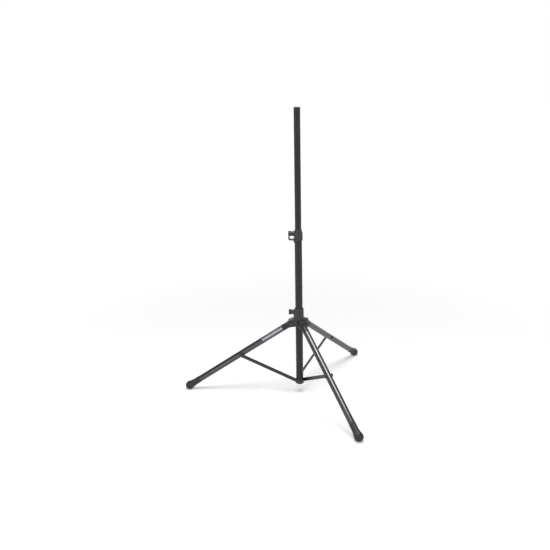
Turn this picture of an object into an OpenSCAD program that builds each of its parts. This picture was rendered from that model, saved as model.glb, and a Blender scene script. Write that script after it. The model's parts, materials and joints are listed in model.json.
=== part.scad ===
// Folding tripod stand for a loudspeaker, in millimetres.
// A mast slides in a main tube and is held by a clamp screw and a lock pin in the collar. A hub
// slides on the main tube and carries three legs. A flat brace ties each leg to the block at the
// foot of the main tube, on one side of the leg, so that the three braces make a pinwheel.
// +Z is up. The origin is on the mast's axis at the floor. All the sizes are for the open stand.

/* [Mast] */
// Outside diameter of the mast, which a loudspeaker's socket slides over
mast_d = 35; // [32:0.5:38]
// Wall of the mast tube
mast_wall = 2; // [1.5:0.1:3]
// Length of the mast with its end cap
mast_len = 1000; // [900:10:1100]
// Length of mast that stands above the collar
mast_out = 645; // [560:5:700]
// Thickness of the end cap's disc
cap_t = 3; // [2:0.5:6]
// Length of mast that goes into a loudspeaker's socket, which a ring in the mast marks
socket_len = 120; // [80:5:130]
// Distance between the lock holes in the mast
hole_pitch = 60; // [40:5:80]
// Lock holes above the lock pin
holes_above = 8; // [4:1:8]
// Lock holes below the lock pin
holes_below = 3; // [1:1:4]

/* [Main tube] */
// Radial gap between the mast and the main tube
sleeve_gap = 1.25; // [1:0.05:1.8]
// Wall of the main tube
main_wall = 1.75; // [1.4:0.05:2.4]
// Height left between the folded hub and the collar
fold_spare = 6.3; // [2:0.1:60]

/* [Collar] */
// Wall of the collar around the main tube
collar_wall = 3.8; // [3:0.1:6]
// Height of the collar above the main tube's end
collar_head = 40; // [36:1:60]
// Depth of the main tube in the collar
collar_seat = 22; // [20:1:34]
// Length of the rib that runs down the main tube under the collar
collar_rib = 13; // [6:1:30]
// Length of the bush inside the main tube's end
bush_len = 32; // [24:1:60]

/* [Clamp screws] */
// Height of the upper screw above the main tube's end
upper_screw_h = 17; // [16:0.5:20]
// Height of the lower screw above the leg pivots
lower_screw_h = 65; // [62:0.5:70]
// Radius of the boss that each screw runs in
boss_r = 12.5; // [11:0.5:13]
// How far the boss stands out of the collar and of the hub
boss_out = 8; // [6:0.5:12]
// Radius of the screw
stud_r = 4; // [3:0.5:4.5]
// Length of the threaded insert
insert_len = 9; // [6:0.5:9]
// Thickness of the brake pad
pad_t = 3; // [2:0.1:3.2]
// Length of the knob
knob_len = 21.5; // [18:0.5:30]
// Width over the knob's two wings
knob_span = 29; // [24:0.5:29.5]
// Thickness of the wings
wing_t = 11; // [9:0.5:12]
// Width of the knob between its foot and its wings
knob_waist = 18.6; // [18.2:0.2:22]
// How far the wings are turned from upright, in degrees
knob_turn = 14; // [0:1:45]

/* [Lock pin] */
// How far the pin lies below the main tube's end
lock_drop = 16.5; // [15:0.5:17]
// Radius of the pin
lock_r = 3; // [2:0.25:3.5]
// Travel of the pin into the mast
lock_travel = 3; // [2.5:0.1:3]
// How far the boss of the pin reaches from the mast's axis
lock_boss_x = 30; // [29.5:0.1:32]
// Thickness of the pull's plate
pull_t = 6; // [4:0.5:8]
// How far the pull reaches from the mast's axis
pull_x = 55; // [53:0.5:57]
// How far the pull's tip stands above the lock pin
pull_rise = 17.5; // [15:0.5:17.5]
// Width of the pull's bow
pull_w = 7.5; // [6:0.5:9]

/* [Hub] */
// Distance of the leg pivots from the mast's axis
pivot_r = 45; // [44:0.5:50]
// Radius of the leg pivot bolts
pivot_bolt_r = 4; // [3:0.5:5]
// Radius of the ears about the pivot
ear_r = 20; // [18:0.5:20.5]
// Thickness of an ear
ear_t = 4.3; // [3:0.1:6]
// Width of the leg end's tongue between the ears
tongue_w = 34.8; // [30:0.2:36]
// Outside radius of the hub's neck
neck_r = 27.5; // [26:0.5:30]
// Height of the neck's top above the leg pivots
neck_top = 88; // [80:1:110]
// Height of the taper at the neck's top
neck_taper = 12; // [4:1:14]
// Wall of the hub's bush
bush_wall = 1.9; // [1.5:0.1:2.5]

/* [Legs] */
// Outside diameter of a leg tube
leg_d = 35; // [28:0.5:35]
// Wall of a leg tube
leg_wall = 1.8; // [1.2:0.1:3]
// Distance from the leg's pivot to the centre of its foot
leg_len = 719.8; // [650:0.2:800]
// Slope of an open leg, in degrees
leg_slope = 33.28; // [28:0.02:38]
// Slope of a folded leg, in degrees
fold_slope = 88; // [84:0.5:88]
// Length of the leg end that shows between the ears and the tube
sleeve_len = 34; // [20:1:60]
// Depth of the leg end's plug in the tube
plug_len = 40; // [20:1:80]
// Radius of the foot's ball
foot_r = 25; // [22:0.5:28]
// How much of the ball is flat on the floor, as a height
foot_flat = 1; // [0.5:0.1:3]
// Wall of the boot around the tube
boot_wall = 0.9; // [0.8:0.1:3]
// Length of the boot's sleeve
boot_len = 78; // [60:1:120]

/* [Braces] */
// Distance from the leg's pivot to its brace bolt
brace_at = 349.2; // [320:0.2:356]
// Width of the flat bar
brace_w = 20; // [14:0.5:24]
// Thickness of the flat bar
brace_t = 3; // [2:0.1:5]
// Radius of the brace screws and bolts
brace_bolt_r = 3; // [2:0.25:4]
// Radius of the saddle between the leg tube and the brace
saddle_r = 10; // [7:0.5:12]
// Height of the brace screws above the floor
block_h = 68.7; // [66:0.1:76]
// Height of the block below its screws, and of the main tube's end above them
block_half = 13.3; // [11:0.1:16]
// Radius of the block
block_r = 24; // [22:0.5:30]

/* [Fits] */
// Clearance of the bushes, as a radius
run = 0.08; // [0.05:0.01:0.1]
// Clearance of the pivots and screws, as a radius
pin_run = 0.05; // [0.03:0.01:0.08]
// Gap between faces that move past each other
gap = 0.3; // [0.2:0.05:0.4]

/* [Hidden] */
$fn = 72;

// Each leg's name and direction about +Z. The brace lies on the leg's anticlockwise side.
SIDES = ["left", "front", "back"];
TURN = [180, 300, 60];
CLAMP_TURN = 180;
LEG_PARTS = ["knuckle", "tube", "boot", "saddle", "bolt"];
BRACE_PARTS = ["bar", "rivet"];

mast_r = mast_d / 2;
mast_inner = mast_r - mast_wall;
main_inner = mast_r + sleeve_gap;
main_r = main_inner + main_wall;
collar_r = main_r + collar_wall;
leg_r = leg_d / 2;
leg_inner = leg_r - leg_wall;

// The open stand: the pivots' height follows from the legs, and the braces from both.
foot_h = foot_r - foot_flat;
pivot_h = foot_h + leg_len * sin(leg_slope);
brace_x = pivot_r + brace_at * cos(leg_slope);
brace_rise = pivot_h - brace_at * sin(leg_slope) - block_h;
brace_len = norm([brace_x, brace_rise]);
brace_slope = atan2(brace_rise, brace_x);

// The folded stand sets how far the hub slides, and so the main tube's length.
brace_fold = acos((pivot_r + brace_at * cos(fold_slope)) / brace_len);
fold_travel = block_h + brace_len * sin(brace_fold) + brace_at * sin(fold_slope) - pivot_h;
hub_top = pivot_h + neck_top;
collar_foot = hub_top + fold_travel + fold_spare;
collar_base = collar_foot + collar_rib;
main_top = collar_base + collar_seat;
main_bottom = block_h + block_half;
collar_top = main_top + collar_head;
mast_top = collar_top + mast_out;
mast_bottom = mast_top - mast_len;
mark_h = mast_top - cap_t - socket_len;
upper_h = main_top + upper_screw_h;
lower_h = pivot_h + lower_screw_h;
lock_h = main_top - lock_drop;

// Collar
mast_clear = 0.4;
bush_flange = 2.5;
flange_r = main_r - 0.5;
lip_wall = 1.4;
crown_rise = 25;
edge = 1.5;
rib_t = 9;
rib_reach = 6.5;

// Clamp screws
insert_r = stud_r + 2.5;
pad_r = 5;
pad_slack = 0.1;
knob_gap = 1.2;
knob_hub_r = 9.9;
knob_skirt = 4;
waist_len = 7;
wing_start = 12;
stud_grip = 14;
upper_face = collar_r + boss_out;
lower_face = neck_r + boss_out;

// Lock pin
lock_boss_r = 6.8;
lock_hole = lock_r + 0.3;
pocket_r = 5.2;
pocket_wall = 1;
pin_flange_r = pocket_r - gap;
pin_flange_t = 1.2;
lock_cap_t = 1.5;
pocket_x = main_r + pocket_wall;
pocket_end = lock_boss_x - lock_cap_t;
pin_tip = mast_r + gap;
pin_flange_x = pocket_x + 0.2 + lock_travel;
pull_foot_x = lock_boss_x + lock_travel + gap;
pull_arm = 4.6;
pull_grip = 7;
bow_r = 12.5;
bow_inner_r = 6;
spring_wire = 0.3;
spring_turns = 3;
spring_sides = 6;
spring_steps = 16;
spring_gap = 0.1;

// Mast
mark_w = 1.2;
mark_depth = 0.3;
cap_plug = 20;
cap_ease = 0.1;
guide_len = 14;
guide_plug = 20;
plug_wall = 2.5;

// Hub
ear_gap = tongue_w + 2 * gap;
ear_out = ear_gap / 2 + ear_t;
nose_r = 15.5;
core_foot = 16;
core_top = 30;
core_r = 26;
pocket_start = 28.6;
roof = 18;
roof_r = pivot_r + 17;
roof_t = 4.5;
eave = 15.5;
nose_turn = 8;
arm_root = 15;
hub_bore = main_r + run + bush_wall;
bolt_head_t = 4.5;
bolt_head_r = 7.5;
nut_t = 6;

// Legs
sleeve_r = leg_r + 0.7;
tongue_len = ear_r + 1;
tube_start = tongue_len + sleeve_len;
tube_depth = 15;
boot_r = leg_r + boot_wall;
flare_start = 35;
flare_end = 9;
saddle_face = main_r + 0.1;
saddle_back = 2;

// Braces
bar_y = saddle_face + gap;
screw_depth = 12;
screw_head_r = 6.5;
screw_head_t = 3.4;
socket_r = 3;
socket_depth = 2;
rivet_head_r = 7;
rivet_head_t = 2.6;
block_foot = block_half + 4;
stem_len = 20;

// Places. At a clamp or the lock pin, local +Z points straight away from the mast.
module at_leg(i) rotate([0, 0, TURN[i]]) children();
module at_clamp(height) rotate([0, 0, CLAMP_TURN]) translate([0, 0, height]) rotate([0, 90, 0]) children();
// Along a leg, local +Z runs from the pivot to the foot, +X underneath and +Y to the brace's side.
module along_leg(i) at_leg(i) translate([pivot_r, 0, pivot_h]) rotate([0, 90 + leg_slope, 0]) children();
// Along a brace, local +Z runs from the block's screw to the leg.
module along_brace(i) at_leg(i) translate([0, 0, block_h]) rotate([0, 90 - brace_slope, 0]) children();

// A cylinder along +Y, from one distance to another
module cross(r, from, to) translate([0, from, 0]) rotate([-90, 0, 0]) cylinder(r = r, h = to - from);
// A cylinder along +Z, from one height to another
module rod(r, from, to) translate([0, 0, from]) cylinder(r = r, h = to - from);
// An outline in the upright plane, with the thickness across it
module slab(t) rotate([90, 0, 0]) linear_extrude(t, center = true) children();

module main_tube() {
    color("#2b2b2d") difference() {
        rod(main_r, main_bottom, main_top);
        rod(main_inner, main_bottom - 1, main_top + 1);
        at_clamp(lock_h) rod(lock_hole, main_inner - 2, main_r + 2);
    }
}

module collar_outline() {
    polygon([
        [0, collar_base], [collar_r - edge, collar_base], [collar_r, collar_base + edge],
        [collar_r, collar_top - crown_rise], [mast_r + 2 * lip_wall + 2, collar_top - crown_rise / 3],
        [mast_r + mast_clear + lip_wall, collar_top - edge / 2], [mast_r + mast_clear + edge / 2, collar_top],
        [0, collar_top]
    ]);
}

module upper_collar() {
    color("#353537") difference() {
        union() {
            rotate_extrude() collar_outline();
            at_clamp(upper_h) rod(boss_r, mast_r, upper_face);
            at_clamp(lock_h) rod(lock_boss_r, mast_r, lock_boss_x);
            rotate([0, 0, CLAMP_TURN]) slab(rib_t)
                polygon([[mast_r, collar_foot], [main_r + edge, collar_foot],
                         [main_r + rib_reach, collar_base + edge], [mast_r, collar_base + edge]]);
        }
        rod(main_r, collar_foot - 1, main_top);
        rod(flange_r + pin_run, main_top - 1, main_top + bush_flange);
        rod(mast_r + mast_clear, main_top, collar_top + 1);
        at_clamp(upper_h) {
            rod(pad_r + pad_slack, mast_r - 3, upper_face - insert_len);
            rod(insert_r, upper_face - insert_len, upper_face + 1);
        }
        at_clamp(lock_h) {
            rod(lock_r + pin_run, mast_r, lock_boss_x + 1);
            rod(pocket_r, pocket_x, lock_boss_x + 1);
        }
    }
}

module collar_bush() {
    color("#1d1d1f") difference() {
        union() {
            rod(main_inner, main_top - bush_len, main_top + bush_flange);
            rod(flange_r, main_top, main_top + bush_flange);
        }
        rod(mast_r + run, main_top - bush_len - 1, main_top + bush_flange + 1);
        at_clamp(lock_h) rod(lock_hole, mast_r - 2, main_r);
    }
}

// The threaded insert, with its thread as a plain running bore
module insert(face) difference() {
    rod(insert_r, face - insert_len, face);
    rod(stud_r + run, face - insert_len - 1, face + 1);
}
module brake_pad(tube_r) rod(pad_r, tube_r + gap, tube_r + gap + pad_t);

module collar_insert() color("#a88b4a") at_clamp(upper_h) insert(upper_face);
module collar_pad() color("#1d1d1f") at_clamp(upper_h) brake_pad(mast_r);
module hub_insert() color("#a88b4a") at_clamp(lower_h) insert(lower_face);
module hub_pad() color("#1d1d1f") at_clamp(lower_h) brake_pad(main_r);

module stud(tube_r, face)
    rod(stud_r, tube_r + pad_t + 2 * gap, face + knob_gap + stud_grip);

// A knob with a round hub and two wings
module grip(face) {
    foot = face + knob_gap;
    difference() {
        union() {
            rod(knob_hub_r, foot, foot + knob_skirt);
            rod(knob_hub_r - 1, foot, foot + knob_len - 2);
            intersection() {
                translate([0, 0, foot]) rotate([0, 0, knob_turn])
                    slab(wing_t) for (side = [0, 1]) mirror([side, 0]) polygon([
                        [-1, knob_skirt / 2], [knob_waist / 2, knob_skirt / 2],
                        [knob_waist / 2, waist_len], [knob_span / 2 + 1, wing_start],
                        [knob_span / 2 + 1, knob_len + 1], [-1, knob_len + 1]]);
                rod(knob_span / 2, foot, foot + knob_len);
            }
        }
        rod(stud_r, foot - 1, foot + stud_grip);
    }
}

module upper_knob_grip() color("#29292b") at_clamp(upper_h) grip(upper_face);
module upper_knob_stud() color("silver") at_clamp(upper_h) stud(mast_r, upper_face);
module lower_knob_grip() color("#29292b") at_clamp(lower_h) grip(lower_face);
module lower_knob_stud() color("silver") at_clamp(lower_h) stud(main_r, lower_face);

module lock_pin() {
    color("silver") at_clamp(lock_h) {
        rod(lock_r, pin_tip, pull_foot_x + pull_grip);
        rod(pin_flange_r, pin_flange_x, pin_flange_x + pin_flange_t);
    }
}

// A rectangle from [x, y] to [to_x, to_y] whose corner at x and to_y is round
module one_round(x, y, to_x, to_y, r) {
    difference() {
        translate([x, y]) square([to_x - x, to_y - y]);
        difference() {
            translate([x - 1, to_y - r]) square([r + 1, r + 1]);
            translate([x + r, to_y - r]) circle(r = r);
        }
    }
}

// A moulded hook for a finger: an arm around the pin's end and a bow that turns up beside the knob
module lock_pull() {
    color("#202022") at_clamp(lock_h) difference() {
        union() {
            slab(pull_t) mirror([1, 0]) difference() {
                one_round(-pull_arm, pull_foot_x, pull_rise, pull_x, bow_r);
                one_round(pull_arm, pull_foot_x - 1, pull_rise + 1, pull_x - pull_w, bow_inner_r);
            }
            rod(pull_arm, pull_foot_x, pull_foot_x + pull_grip + edge);
        }
        rod(lock_r, pull_foot_x - 1, pull_foot_x + pull_grip);
    }
}

module lock_cap() {
    color("#8c8c8e") at_clamp(lock_h) difference() {
        rod(pocket_r, pocket_end, lock_boss_x);
        rod(lock_r + pin_run, pocket_end - 1, lock_boss_x + 1);
    }
}

// The compressed spring: a wire swept round a helix, one ring of points for each step
module lock_spring() {
    coil_r = (pocket_r + lock_r) / 2 + spring_gap;
    start = pin_flange_x + pin_flange_t + spring_wire + spring_gap;
    rise = pocket_end - spring_wire - spring_gap - start;
    rings = spring_turns * spring_steps;
    points = [for (i = [0:rings], s = [0:spring_sides - 1])
        let (turn = 360 * i / spring_steps, around = 360 * s / spring_sides,
             reach = coil_r + spring_wire * cos(around))
        [reach * cos(turn), reach * sin(turn), start + rise * i / rings + spring_wire * sin(around)]];
    walls = [for (i = [0:rings - 1], s = [0:spring_sides - 1])
        let (next = (s + 1) % spring_sides, a = i * spring_sides, b = a + spring_sides)
        [a + s, b + s, b + next, a + next]];
    first_end = [for (s = [0:spring_sides - 1]) s];
    last_end = [for (s = [spring_sides - 1:-1:0]) rings * spring_sides + s];
    color("#b0b0b4") at_clamp(lock_h) polyhedron(points, concat(walls, [first_end, last_end]));
}

module base_block() {
    color("#2f2f31") difference() {
        union() {
            rod(block_r, block_h - block_half, main_bottom);
            translate([0, 0, block_h - block_foot])
                cylinder(r1 = block_r - 6, r2 = block_r, h = block_foot - block_half);
            rod(main_inner, main_bottom - 1, main_bottom + stem_len);
        }
        for (i = [0:2]) at_leg(i) {
            translate([-block_r, saddle_face, block_h - block_foot - 1])
                cube([2 * block_r, block_r, block_foot + block_half + 1]);
            translate([0, 0, block_h]) cross(brace_bolt_r, bar_y + brace_t - screw_depth - gap, block_r);
        }
    }
}

// The shoulder screws that the braces turn on
module brace_screws() {
    head_y = bar_y + brace_t + gap;
    color("silver") for (i = [0:2]) at_leg(i) translate([0, 0, block_h]) difference() {
        union() {
            cross(brace_bolt_r, bar_y + brace_t - screw_depth, head_y + 1);
            cross(screw_head_r, head_y, head_y + screw_head_t);
        }
        translate([0, head_y + screw_head_t - socket_depth, 0]) rotate([-90, 0, 0])
            cylinder(r = socket_r, h = socket_depth + 1, $fn = 6);
    }
}

module mast_tube() {
    color("#262628") difference() {
        rod(mast_r, mast_bottom, mast_top - cap_t);
        rod(mast_inner, mast_bottom - 1, mast_top);
        for (n = [-holes_below:holes_above])
            let (height = lock_h + n * hole_pitch)
                if (height > mast_bottom + guide_plug + lock_hole && height < mark_h - lock_hole)
                    at_clamp(height) rod(lock_hole, mast_inner - 2, mast_r + 2);
        difference() {
            rod(mast_r + 1, mark_h - mark_w, mark_h);
            rod(mast_r - mark_depth, mark_h - mark_w - 1, mark_h + 1);
        }
    }
}

module mast_cap() {
    color("#161617") {
        rod(mast_r - cap_ease, mast_top - cap_t, mast_top);
        difference() {
            rod(mast_inner, mast_top - cap_t - cap_plug, mast_top - cap_t + 1);
            rod(mast_inner - plug_wall, mast_top - cap_t - cap_plug - 1, mast_top - cap_t);
        }
    }
}

// The plug at the mast's lower end, whose ring slides in the main tube
module mast_guide() {
    color("#1d1d1f") difference() {
        union() {
            rod(main_inner - run, mast_bottom - guide_len, mast_bottom);
            rod(mast_inner, mast_bottom - 1, mast_bottom + guide_plug);
        }
        rod(mast_inner - plug_wall, mast_bottom - guide_len - 1, mast_bottom + guide_plug + 1);
    }
}

module arm_outline() {
    inside = ear_r - edge / 3;
    polygon([[arm_root, -core_foot], [arm_root, core_top], [neck_r, core_top], [roof_r, eave],
             [pivot_r + inside * cos(nose_turn), inside * sin(nose_turn)], [pivot_r, -inside]]);
    translate([pivot_r, 0]) circle(r = ear_r);
}

// The room for a leg end under the arm's sloping roof
module pocket_outline() {
    pocket = 2 * pivot_r;
    polygon([[pocket_start, -pocket], [pocket_start, roof], [pivot_r, roof], [roof_r + 1, eave - roof_t],
             [pocket, eave - roof_t], [pocket, -pocket]]);
}

module leg_hub() {
    color("#3b3b3d") difference() {
        union() {
            rod(neck_r, pivot_h, hub_top - neck_taper);
            translate([0, 0, hub_top - neck_taper])
                cylinder(r1 = neck_r, r2 = hub_bore + lip_wall, h = neck_taper);
            rod(core_r, pivot_h - core_foot, pivot_h + core_top);
            at_clamp(lower_h) rod(boss_r, main_r, lower_face);
            for (i = [0:2]) at_leg(i) translate([0, 0, pivot_h]) slab(2 * ear_out) arm_outline();
        }
        rod(hub_bore, pivot_h - 2 * ear_r, hub_top + 1);
        at_clamp(lower_h) {
            rod(pad_r + pad_slack, main_r, lower_face - insert_len);
            rod(insert_r, lower_face - insert_len, lower_face + 1);
        }
        for (i = [0:2]) at_leg(i) translate([0, 0, pivot_h]) {
            slab(ear_gap) pocket_outline();
            translate([pivot_r, 0, 0]) cross(pivot_bolt_r + pin_run, -ear_out - 1, ear_out + 1);
        }
    }
}

module hub_bush() {
    color("#1d1d1f") difference() {
        rod(hub_bore, pivot_h - core_foot, hub_top);
        rod(main_r + run, pivot_h - core_foot - 1, hub_top + 1);
        at_clamp(lower_h) rod(pad_r + pad_slack, main_r - 2, hub_bore + 2);
    }
}

module pivot_bolts() {
    color("silver") for (i = [0:2]) at_leg(i) translate([pivot_r, 0, pivot_h]) {
        cross(pivot_bolt_r, -ear_out - 1, ear_out + nut_t + 1);
        translate([0, -ear_out - bolt_head_t, 0]) rotate([-90, 0, 0])
            cylinder(r = bolt_head_r, h = bolt_head_t, $fn = 6);
    }
}

module pivot_nuts() {
    color("silver") for (i = [0:2]) at_leg(i) translate([pivot_r, 0, pivot_h]) difference() {
        translate([0, ear_out, 0]) rotate([-90, 0, 0]) cylinder(r = bolt_head_r, h = nut_t, $fn = 6);
        cross(pivot_bolt_r, ear_out - 1, ear_out + nut_t + 1);
    }
}

// The moulded leg end: a tongue between the ears, a round sleeve and a hollow plug in the tube
module leg_knuckle(i) {
    color("#1f1f21") along_leg(i) difference() {
        union() {
            slab(tongue_w) {
                circle(r = nose_r);
                translate([-nose_r, 0]) square([2 * nose_r, tongue_len + edge]);
            }
            rod(sleeve_r, tongue_len, tube_start);
            rod(leg_inner, tube_start - 1, tube_start + plug_len);
        }
        cross(pivot_bolt_r + pin_run, -tongue_w, tongue_w);
        rod(leg_inner - plug_wall, tube_start - edge, tube_start + plug_len + 1);
    }
}

module leg_tube(i) {
    color("#2b2b2d") along_leg(i) difference() {
        rod(leg_r, tube_start, leg_len - tube_depth);
        rod(leg_inner, tube_start - 1, leg_len);
        translate([0, 0, brace_at]) cross(brace_bolt_r + pin_run, -leg_d, leg_d);
    }
}

module leg_boot(i) {
    color("#303032") difference() {
        along_leg(i) difference() {
            union() {
                rod(boot_r, leg_len - boot_len, leg_len);
                translate([0, 0, leg_len - flare_start])
                    cylinder(r1 = boot_r, r2 = sqrt(pow(foot_r, 2) - pow(flare_end, 2)),
                             h = flare_start - flare_end);
                translate([0, 0, leg_len]) sphere(r = foot_r);
            }
            rod(leg_r, leg_len - boot_len - 1, leg_len - tube_depth);
        }
        at_leg(i) translate([0, -leg_len, -leg_len]) cube([2 * leg_len, 2 * leg_len, leg_len]);
    }
}

// Saddles on both sides of the leg tube, under the brace and under the bolt's head
module leg_saddle(i) {
    color("#1f1f21") along_leg(i) difference() {
        translate([0, 0, brace_at]) {
            cross(saddle_r, saddle_r, saddle_face);
            cross(saddle_r, -leg_r - saddle_back, -saddle_r);
        }
        rod(leg_r, brace_at - 2 * saddle_r, brace_at + 2 * saddle_r);
        translate([0, 0, brace_at]) cross(brace_bolt_r + pin_run, -leg_d, leg_d);
    }
}

module leg_bolt(i) {
    head_y = -leg_r - saddle_back;
    color("silver") along_leg(i) translate([0, 0, brace_at]) difference() {
        union() {
            cross(brace_bolt_r, head_y - 1, saddle_face);
            cross(screw_head_r, head_y - screw_head_t, head_y);
        }
        translate([0, head_y - screw_head_t - 1, 0]) rotate([-90, 0, 0])
            cylinder(r = socket_r, h = socket_depth + 1, $fn = 6);
    }
}

module brace_bar(i) {
    color("#39393b") along_brace(i) translate([0, bar_y + brace_t / 2, 0]) difference() {
        slab(brace_t) {
            circle(d = brace_w);
            translate([-brace_w / 2, 0]) square([brace_w, brace_len]);
            translate([0, brace_len]) circle(d = brace_w);
        }
        cross(brace_bolt_r + pin_run, -brace_t, brace_t);
        translate([0, 0, brace_len]) cross(brace_bolt_r, -brace_t, brace_t);
    }
}

// The head of the bolt that ties the brace to its leg
module brace_rivet(i) {
    color("silver") along_brace(i) translate([0, bar_y, brace_len]) {
        cross(brace_bolt_r, 0, brace_t + 1);
        cross(rivet_head_r, brace_t, brace_t + rivet_head_t);
    }
}

main_tube();
upper_collar();
collar_bush();
collar_insert();
collar_pad();
lock_cap();
lock_spring();
base_block();
brace_screws();
mast_tube();
mast_cap();
mast_guide();
leg_hub();
hub_bush();
hub_insert();
hub_pad();
pivot_bolts();
pivot_nuts();
upper_knob_grip();
upper_knob_stud();
lower_knob_grip();
lower_knob_stud();
lock_pin();
lock_pull();
for (i = [0:2]) {
    leg = str("leg_", SIDES[i], "_");
    leg_knuckle(i);
    leg_tube(i);
    leg_boot(i);
    leg_saddle(i);
    leg_bolt(i);
    brace = str("brace_", SIDES[i], "_");
    brace_bar(i);
    brace_rivet(i);
}
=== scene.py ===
# %% [markdown]
# # A folding loudspeaker stand
# The construction of the stand is ready: its tubes, its hub, its knobs and its joints arrive as a
# frame that must not move. This lesson gives each piece its finished shape and its finish, and
# lets it ride on the body that carries it, so that the stand still folds.

# %% Load the frame
import json
import math

import bmesh
import bpy
from mathutils import Matrix, Vector


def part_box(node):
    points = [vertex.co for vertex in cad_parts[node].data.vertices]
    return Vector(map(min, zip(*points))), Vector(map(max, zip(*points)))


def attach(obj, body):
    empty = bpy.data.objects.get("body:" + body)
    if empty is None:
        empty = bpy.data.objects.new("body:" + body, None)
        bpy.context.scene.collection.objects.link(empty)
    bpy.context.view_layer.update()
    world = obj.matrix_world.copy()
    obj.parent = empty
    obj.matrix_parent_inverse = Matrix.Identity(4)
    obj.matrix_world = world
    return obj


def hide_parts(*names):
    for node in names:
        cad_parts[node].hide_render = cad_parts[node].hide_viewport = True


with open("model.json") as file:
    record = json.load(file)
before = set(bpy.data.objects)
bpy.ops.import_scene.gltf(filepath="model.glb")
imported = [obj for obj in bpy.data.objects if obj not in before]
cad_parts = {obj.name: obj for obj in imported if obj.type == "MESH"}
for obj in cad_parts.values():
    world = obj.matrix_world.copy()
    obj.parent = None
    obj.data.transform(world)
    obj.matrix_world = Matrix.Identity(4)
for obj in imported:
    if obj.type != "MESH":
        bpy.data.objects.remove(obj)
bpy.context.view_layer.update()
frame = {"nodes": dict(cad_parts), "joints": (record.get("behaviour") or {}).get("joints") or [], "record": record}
scene = bpy.context.scene
MM = 0.001

# %% [markdown]
# ## The camera
# A camera for a product picture stands a few paces back, a little above the hub, and looks down at
# about fifteen degrees. It is placed first.

# %% Camera
CAMERA_PLACE = (0.2159, -3.5641, 1.6806)
LOOK_DOWN = 15.348
LOOK_LEFT = 5.563
HORIZON_TILT = -1.171


def turned(angle, axis):
    return Matrix.Rotation(math.radians(angle), 4, axis)


camera_data = bpy.data.cameras.new("camera")
camera_data.lens = 43.82
camera_data.sensor_width = 36
camera = bpy.data.objects.new("camera", camera_data)
camera.matrix_world = (
    Matrix.Translation(CAMERA_PLACE)
    @ turned(LOOK_LEFT, "Z") @ turned(90 - LOOK_DOWN, "X") @ turned(HORIZON_TILT, "Z")
)
scene.collection.objects.link(camera)
scene.camera = camera

# %% [markdown]
# ## Where things are
# Every place comes from the frame: the box of a node, the point of a joint or a mount. A tripod
# has three sides that repeat, so each leg and each brace gets a matrix of its own. Its Z runs
# along the piece and its Y points to the side that the braces are on. A piece is modelled upright
# at the origin and then laid into place with that matrix.

# %% Places
UP = Vector((0, 0, 1))
SIDES = ("left", "front", "back")
FOOT_HEIGHT = 24 * MM
joints = {joint["name"]: joint for joint in frame["joints"]}
mounts = {mount["name"]: mount for mount in frame["record"]["mounts"]}


def size(node):
    low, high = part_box(node)
    return high - low


def middle(node):
    low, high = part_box(node)
    return (low + high) / 2


def laid(place, along, across):
    """A matrix with its origin at place, Z along one direction and Y across."""
    along, across = along.normalized(), across.normalized()
    turn = Matrix((across.cross(along), across, along)).transposed().to_4x4()
    return Matrix.Translation(place) @ turn


leg_place, brace_place, side_turn, brace_length = {}, {}, {}, {}
for side in SIDES:
    hinge = joints[f"leg_{side}_hinge"]
    pivot, across = Vector(hinge["pos_m"]), Vector(hinge["axis"])
    foot = Vector(mounts[f"foot_{side}"]["pos_m"]) + FOOT_HEIGHT * UP
    leg_place[side] = laid(pivot, foot - pivot, across)
    side_turn[side] = laid(Vector((0, 0, pivot.z)), UP, across)
    screw = Vector(joints[f"brace_{side}_hinge"]["pos_m"])
    reach = middle(f"brace_{side}_rivet") - screw
    reach -= reach.dot(across) * across
    brace_place[side] = laid(screw, reach, across)
    brace_length[side] = reach.length
leg_length = (foot - pivot).length
pivot_height = pivot.z
pivot_reach = math.hypot(pivot.x, pivot.y)


def clamp_place(height):
    """At a clamp screw or the lock pin, Z points straight away from the mast."""
    return laid(Vector((0, 0, height)), Vector((-1, 0, 0)), Vector((0, -1, 0)))


upper_clamp = clamp_place(joints["upper_knob_turn"]["pos_m"][2])
lower_clamp = clamp_place(joints["lower_knob_turn"]["pos_m"][2])
lock_place = clamp_place(middle("lock_pin").z)
print(f"legs {leg_length:.3f} m from pivot to foot, braces {brace_length['left']:.3f} m")

# %% [markdown]
# ## Making a piece
# Short helpers do the repeated work. `lathe` turns an outline about Z, because most of the stand
# is round, and `plate` gives an outline a thickness. `soften` bevels every sharp edge, since no
# real edge is a perfect line and a bevel is what catches the light. `carved` cuts holes with a
# boolean, and `moulded` fuses overlapping shells into one skin. `piece` turns a bmesh into an
# object, remembers each vertex's place in the piece's own frame, so that grain and scuffs stay put
# on a sloping leg, and then lays it in place on its body.

# %% Helpers for shapes
ROUND = 96


def lathe(outline, steps=ROUND, closed=False):
    """A bmesh turned from an outline of (radius, height) pairs in millimetres."""
    shape = bmesh.new()
    line = [shape.verts.new((radius * MM, 0, height * MM)) for radius, height in outline]
    for start, end in zip(line, line[1:]):
        shape.edges.new((start, end))
    if closed:
        shape.edges.new((line[-1], line[0]))
    bmesh.ops.spin(shape, geom=shape.verts[:] + shape.edges[:], axis=UP, cent=(0, 0, 0),
                   angle=math.tau, steps=steps, use_merge=True)
    bmesh.ops.remove_doubles(shape, verts=shape.verts, dist=1e-6)
    bmesh.ops.recalc_face_normals(shape, faces=shape.faces)
    return shape


def soften(shape, width, sharp=32, segments=3):
    """Bevels the edges whose faces meet at more than an angle in degrees."""
    edges = [edge for edge in shape.edges
             if edge.is_manifold and edge.calc_face_angle() > math.radians(sharp)]
    bmesh.ops.bevel(shape, geom=edges, offset=width * MM, offset_type="OFFSET", segments=segments,
                    profile=0.5, material=-1, affect="EDGES", clamp_overlap=True)
    return shape


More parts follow.
